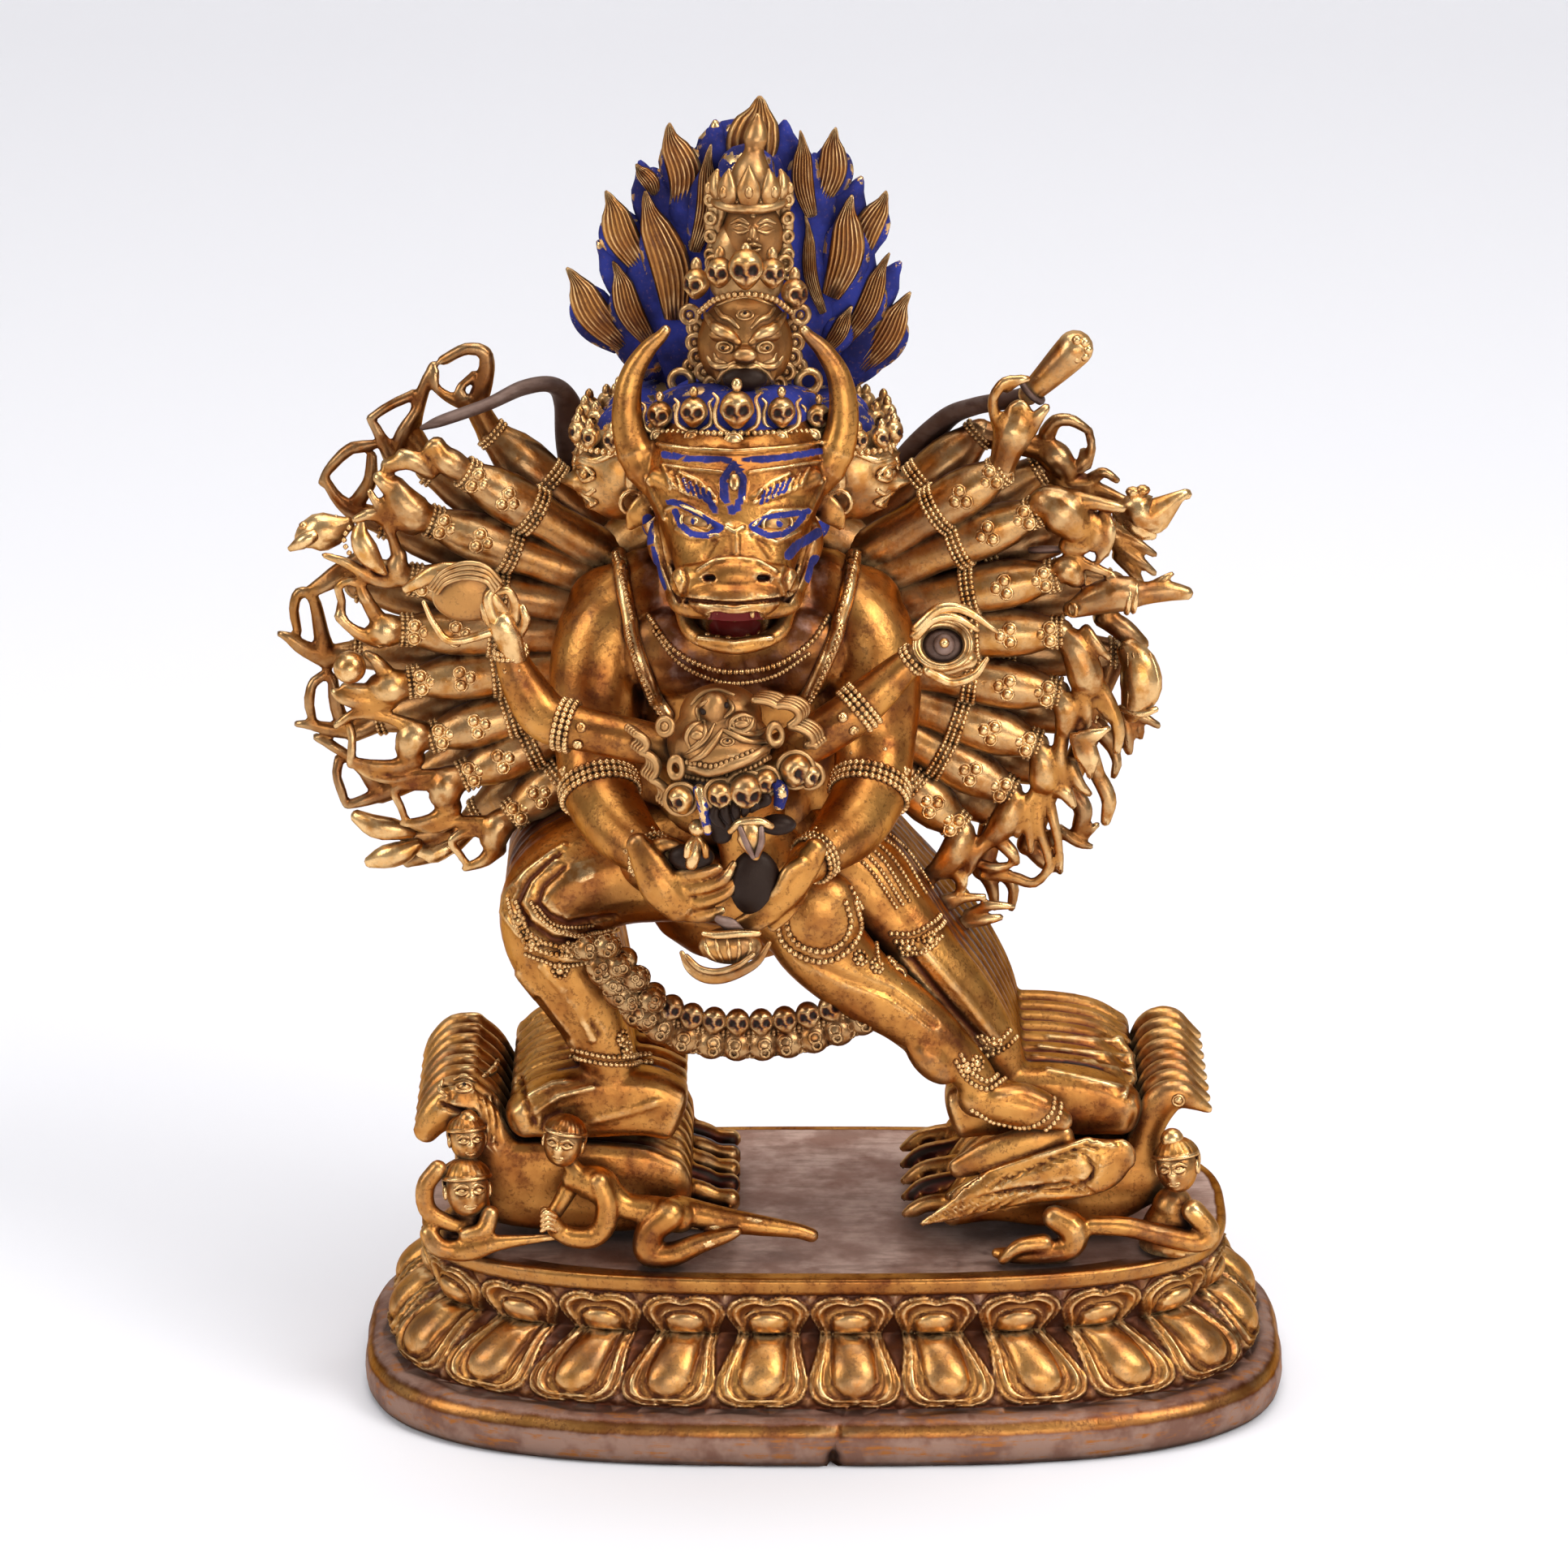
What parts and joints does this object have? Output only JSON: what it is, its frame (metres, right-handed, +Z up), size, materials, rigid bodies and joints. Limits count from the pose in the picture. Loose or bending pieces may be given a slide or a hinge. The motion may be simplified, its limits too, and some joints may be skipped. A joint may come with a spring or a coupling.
{
  "type": "gilt copper statue",
  "caption": "Gilt copper figure of a buffalo-headed deity embracing his consort, with fans of arms and banked legs, on an oval lotus base.",
  "frame": {"origin": "centre of the flat underside of the lotus base", "axes": "+Z up through the figure, -Y towards the front, which the faces look to, and +X to the viewer's right"},
  "size_m": [0.1464, 0.0802, 0.1902],
  "materials": {
    "gilding": "fire gilding, worn to red-brown copper in the hollows",
    "worn_copper": "brown worn copper with gilding left on the lotus petals",
    "hide_copper": "dark brown ungilded copper",
    "blue_hair": "matt ultramarine pigment between gilded flame-shaped locks"
  },
  "bodies": {
    "root": {"lotus_base": "worn_copper", "trampled_beasts": "gilding", "trampled_birds": "gilding", "prone_man": "gilding", "deity_body": "gilding", "right_arm_fan": "gilding", "left_arm_fan": "gilding", "consort": "gilding", "head_garland": "gilding", "upper_heads_and_hair": "blue_hair", "elephant_hide": "hide_copper"}
  },
  "joints": []
}
